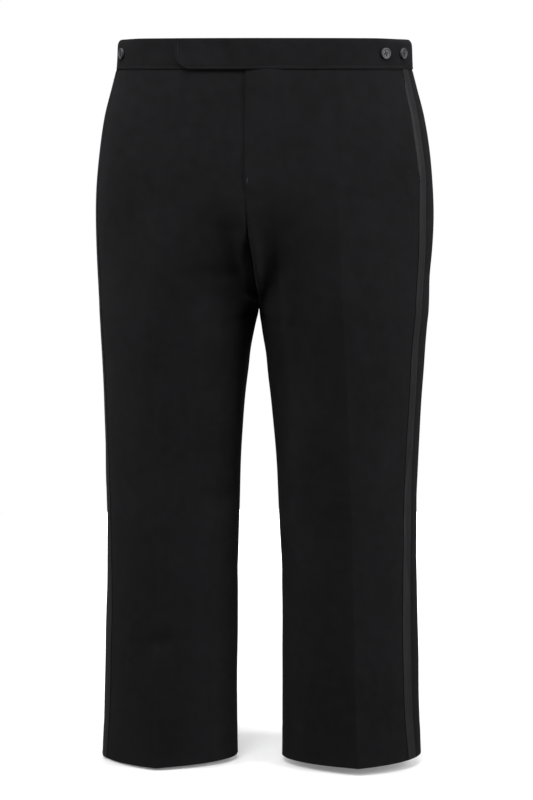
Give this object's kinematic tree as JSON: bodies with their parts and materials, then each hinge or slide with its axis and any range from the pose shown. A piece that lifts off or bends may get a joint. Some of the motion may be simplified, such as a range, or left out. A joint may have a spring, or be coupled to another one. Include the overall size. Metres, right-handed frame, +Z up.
{
  "type": "dress trousers",
  "caption": "Black formal trousers with pressed creases, a flat waistband with an extended tab, waist buttons and a satin stripe down each outseam.",
  "frame": {"origin": "centre of the waist opening, level with the top edge of the waistband", "axes": "+Z up out of the waist, the front faces -Y, +X to the wearer's left"},
  "size_m": [0.4409, 0.2732, 0.9517],
  "materials": {
    "wool": "matte fine wool twill",
    "satin": "satin ribbon with a soft sheen",
    "button": "satin resin"
  },
  "bodies": {
    "root": {"front_left": "wool", "front_right": "wool", "back_left": "wool", "back_right": "wool", "waistband_left": "wool", "waistband_right": "wool", "stripe_left": "satin", "stripe_right": "satin", "button_left_front": "button", "button_left_side": "button", "button_right": "button"}
  },
  "joints": []
}
